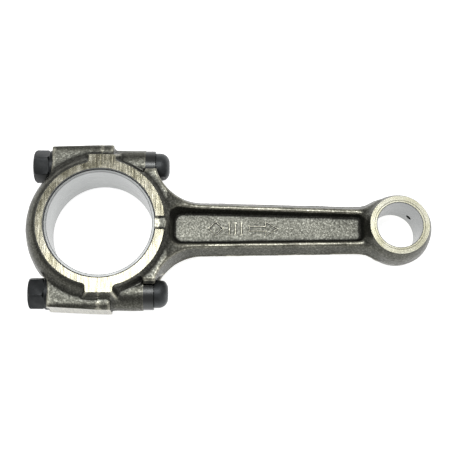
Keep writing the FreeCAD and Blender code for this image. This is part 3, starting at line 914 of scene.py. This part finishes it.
def make_cap():
    """Cap forging, then its machining."""
    cap = forge("cap_forging", cap_field, -STRAP_R - GRID_MARGIN[0], JOINT_STOCK, 2)
    tools = face_mills()
    tools.append(box("joint_mill", (0, -FAR, -FAR), (FAR, FAR, FAR), GROUND))
    tools.append(housing_reamer())
    for side in (1, -1):
        tools.append(bar("nut_spot", NUT_SPOT_R, -FAR, NUT_SEAT_X, side, GROUND))
        tools.append(bar("bolt_drill", HOLE_R, NUT_SEAT_X - OVERRUN, OVERRUN, side, BORED))
        tools.append(side_mill(side, -FAR, OVERRUN, PAD_TAPER))
    tools += [tang_block(-1, TANG_GAP), *joint_vees()]
    combine(cap, tools)
    finish_piece(cap, "cap", "bearing_cap", FORGING_SKINS)


def make_shell(name, body, node, arc):
    """Bearing half shell with broken edges."""
    e = SHELL_EDGE
    z = SHELL_END_Z
    profile = [(CRANK_BORE_R + e, -z), (HOUSING_R - e, -z), (HOUSING_R, -z + e), (HOUSING_R, z - e),
               (HOUSING_R - e, z), (CRANK_BORE_R + e, z), (CRANK_BORE_R, z - e), (CRANK_BORE_R, -z + e)]
    shell = lathe(name, profile, steps=160, arc=arc)
    combine(shell, [tang_block(1 if body == "rod" else -1, 0.0)], "UNION")
    for face in shell.data.polygons:
        inside = math.hypot(face.center.x, face.center.y) / MM < CRANK_BORE_R + e
        face.material_index = 0 if inside else 1
    finish_piece(shell, body, node, [STEEL_LINING, STEEL_BACK])


def make_bush():
    """Small-end bush with broken edges."""
    e = BUSH_EDGE
    z = BUSH_END_Z
    profile = [(PIN_BORE_R + e, -z), (EYE_BORE_R, -z), (EYE_BORE_R, z), (PIN_BORE_R + e, z),
               (PIN_BORE_R, z - e), (PIN_BORE_R, -z + e)]
    bush = lathe("bush", profile, (CENTRES, 0, 0))
    combine(bush, [splash_drill()])
    for face in bush.data.polygons:
        height = abs(face.center.z) / MM
        # the chamfers take the darker shell_back finish, which paints a thin dark line of shade at the bore's
        # edges
        face.material_index = 1 if height > z - 0.1 * e else 2 if height > z - e else 0
    finish_piece(bush, "rod", "small_end_bush", [STEEL_BUSH, STEEL_FACED, STEEL_BACK])


def make_bolt(side, node):
    """Bolt with a domed head, a flat on the head and a rolled thread."""
    shank = THREAD_R[1] - SHANK_RELIEF
    thread_end = BOLT_TIP_X + THREAD_LENGTH
    profile = [(0, BOLT_TIP_X), (THREAD_R[0] - TIP_CHAMFER, BOLT_TIP_X),
               (THREAD_R[0], BOLT_TIP_X + TIP_CHAMFER), (THREAD_R[0], thread_end),
               (shank, thread_end + RELIEF_RUN), (shank, RELIEF_END - SHANK_RELIEF),
               (THREAD_R[1], RELIEF_END), (THREAD_R[1], HEAD_SEAT_X),
               (HEAD_R - HEAD_EDGE, HEAD_SEAT_X), (HEAD_R, HEAD_SEAT_X + HEAD_EDGE)]
    for i in range(DOME_STEPS + 1):
        angle = math.radians(90) * i / DOME_STEPS
        profile.append((HEAD_R - HEAD_DOME * (1 - math.cos(angle)),
                        CROWN_X - HEAD_DOME * (1 - math.sin(angle))))
    profile.append((0, CROWN_X))
    bolt = lathe(node.replace("bolt_", "bolt_forged_"), profile, (0, 0, 0), "X", 96)
    flat = box("head_flat", (HEAD_SEAT_X, -FAR, -FAR), (FAR, -HEAD_FLAT, FAR))
    combine(bolt, [flat])
    ridge = thread(THREAD_R, THREAD_LENGTH - THREAD_TURN, THREAD_FOOT, THREAD_TIP, False, OXIDE_BOLT)
    ridge.transform(ALONG_X)
    ridge.transform(Matrix.Translation((BOLT_TIP_X * MM + THREAD_START * THREAD_TURN * MM, 0, 0)))
    add_mesh(bolt, ridge)
    if side < 0:
        bolt.data.transform(Matrix.Rotation(math.pi, 4, "X"))
    bolt.data.transform(Matrix.Translation((0, side * BOLT_Y * MM, 0)))
    finish_piece(bolt, "rod", node, [OXIDE_BOLT])


def make_nut(side, node, turn):
    """Hexagon nut with a round washer face and a cut thread."""
    corner = NUT_FLATS / math.sqrt(3)
    washer_x = NUT_SEAT_X - NUT_COLLAR
    ring = [(corner * math.cos(math.radians(60 * i + turn)), corner * math.sin(math.radians(60 * i + turn)))
            for i in range(6)]
    points = [(x, y, z) for x in (NUT_END_X - 1, washer_x + 0.5) for y, z in ring]
    faces = [tuple(range(6)), tuple(range(11, 5, -1))]
    faces += [(i, (i + 1) % 6, (i + 1) % 6 + 6, i + 6) for i in range(6)]
    mesh = mesh_from(node, points, faces)
    outward(mesh)
    nut = new_object(node.replace("nut_", "nut_cut_"), mesh)
    envelope = [(0, NUT_END_X), *((corner - lost, NUT_END_X + run) for lost, run in NUT_CROWN),
                (corner, washer_x - NUT_BEVEL[1]), (corner - NUT_BEVEL[0], washer_x + OVERLAP),
                (0, washer_x + OVERLAP)]
    combine(nut, [lathe("chamfer", envelope, (0, 0, 0), "X", 96)], "INTERSECT")
    w = NUT_COLLAR_R
    seat = NUT_SEAT_X - NUT_SEAT_GAP
    washer = [(0, washer_x), (w - COLLAR_BACK_EDGE, washer_x), (w, washer_x + COLLAR_BACK_EDGE),
              (w, seat - COLLAR_SEAT_EDGE), (w - COLLAR_SEAT_EDGE, seat), (0, seat)]
    combine(nut, [lathe("washer", washer, (0, 0, 0), "X", 96)], "UNION")
    r = NUT_THREAD_R[1] - TAP_ENGAGE
    tap = [(0, NUT_END_X - OVERRUN), (r + TAP_END[0], NUT_END_X - OVERRUN), (r, NUT_END_X + TAP_END[1]),
           (r, NUT_SEAT_X - TAP_SEAT[1]), (r + TAP_SEAT[0], NUT_SEAT_X + OVERRUN),
           (0, NUT_SEAT_X + OVERRUN)]
    combine(nut, [lathe("tap", tap, (0, 0, 0), "X", 96)])
    length = NUT_SEAT_X - BOLT_TIP_X - NUT_THREAD_SHORT * THREAD_TURN
    ridge = thread(NUT_THREAD_R, length, NUT_THREAD_FOOT, THREAD_TIP, True, OXIDE_NUT)
    ridge.transform(ALONG_X)
    ridge.transform(Matrix.Translation((BOLT_TIP_X * MM + NUT_THREAD_START * THREAD_TURN * MM, 0, 0)))
    add_mesh(nut, ridge)
    if side < 0:
        nut.data.transform(Matrix.Rotation(math.pi, 4, "X"))
    nut.data.transform(Matrix.Translation((0, side * BOLT_Y * MM, 0)))
    finish_piece(nut, node, node, [OXIDE_NUT])


# ---- stage --------------------------------------------------------------------------------
CAMERA_PLACE = Vector((48.33, -120.65, 484.14))
CAMERA_AIM = Vector((63.45, -0.05, 0.0))
CAMERA_ROLL = -0.16
CAMERA_LENS = 78.72
CAMERA_SENSOR = 36
FLOOR_REACH = 10.0          # metres
FLOOR_GLOW = 0.80
SKY_FADE = (0.10, 0.45)     # heights between which the surroundings go from white to grey
SKY_GREY = 0.40
SOFT_BOXES = (              # name, place, aim, size, power
    ("overhead_left", (-0.12, 0.05, 1.0), (0.0, 0.0, 0.0), (0.32, 0.20), 1.9),
    ("overhead_middle", (0.14, 0.22, 1.0), (0.06, 0.0, 0.0), (0.22, 0.24), 1.6),
    ("overhead_right", (0.40, 0.30, 1.0), (0.12, 0.0, 0.0), (0.30, 0.26), 0.6),
)


def make_camera():
    """Camera above the rod, leaning towards its lower side."""
    camera = bpy.data.cameras.new("camera")
    camera.lens = CAMERA_LENS
    camera.sensor_width = CAMERA_SENSOR
    camera.clip_start = 0.01
    obj = new_object("camera", camera)
    back = (CAMERA_PLACE - CAMERA_AIM).normalized()
    right = Vector((0, 1, 0)).cross(back).normalized()
    turned = Matrix((right, back.cross(right), back)).transposed().to_4x4()
    roll = Matrix.Rotation(math.radians(CAMERA_ROLL), 4, "Z")
    obj.matrix_world = Matrix.Translation(CAMERA_PLACE * MM) @ turned @ roll
    bpy.context.scene.camera = obj


def make_floor():
    """Plain pale floor that the thrust faces rest on."""
    work = bmesh.new()
    bmesh.ops.create_grid(work, x_segments=1, y_segments=1, size=FLOOR_REACH)
    mesh = bpy.data.meshes.new("floor")
    work.to_mesh(mesh)
    work.free()
    mesh.transform(Matrix.Translation((0, 0, CAD_BOX[0][2])))
    floor = new_object("floor", mesh)
    m = Nodes("floor_white")
    tone = m.ramp(m.noise(60, 2), [(0.3, (0.90, 0.90, 0.90)), (0.7, (0.93, 0.93, 0.93))])
    m.shader.inputs["Emission Color"].default_value = (1, 1, 1, 1)
    m.shader.inputs["Emission Strength"].default_value = FLOOR_GLOW
    floor.data.materials.append(m.surface(tone, m.span(m.noise(40, 2), 0.85, 0.95), 0.0))


def soft_light(name, place, aim, size, power):
    """Rectangular soft box; places in metres, power in watts."""
    light = bpy.data.lights.new(name, "AREA")
    light.shape = "RECTANGLE"
    light.size, light.size_y = size
    light.energy = power
    obj = new_object(name, light)
    direction = (Vector(aim) - Vector(place)).to_track_quat("-Z", "Y").to_matrix().to_4x4()
    obj.matrix_world = Matrix.Translation(place) @ direction


def make_light():
    """Surroundings white low down and grey overhead, with three soft boxes above."""
    world = bpy.data.worlds.new("studio")
    world.use_nodes = True
    background = world.node_tree.nodes["Background"]
    links, nodes = world.node_tree.links, world.node_tree.nodes
    place = nodes.new("ShaderNodeTexCoord")
    height = nodes.new("ShaderNodeSeparateXYZ")
    tone = nodes.new("ShaderNodeValToRGB")
    low, high = tone.color_ramp.elements
    low.position, high.position = SKY_FADE
    low.color, high.color = (1.0, 1.0, 1.0, 1), (SKY_GREY, SKY_GREY, SKY_GREY, 1)
    links.new(place.outputs["Generated"], height.inputs["Vector"])
    links.new(height.outputs["Z"], tone.inputs["Fac"])
    links.new(tone.outputs["Color"], background.inputs["Color"])
    bpy.context.scene.world = world
    for soft_box in SOFT_BOXES:
        soft_light(*soft_box)
    bpy.context.scene.view_settings.view_transform = "Standard"


make_camera()
make_light()
make_floor()
make_rod()
make_cap()
make_shell("rod_lining", "rod", "rod_shell", (-90, 90))
make_shell("cap_lining", "cap", "cap_shell", (90, 270))
make_bush()
make_bolt(1, "bolt_upper")
make_bolt(-1, "bolt_lower")
make_nut(1, "nut_upper", 14.0)
make_nut(-1, "nut_lower", -13.6)
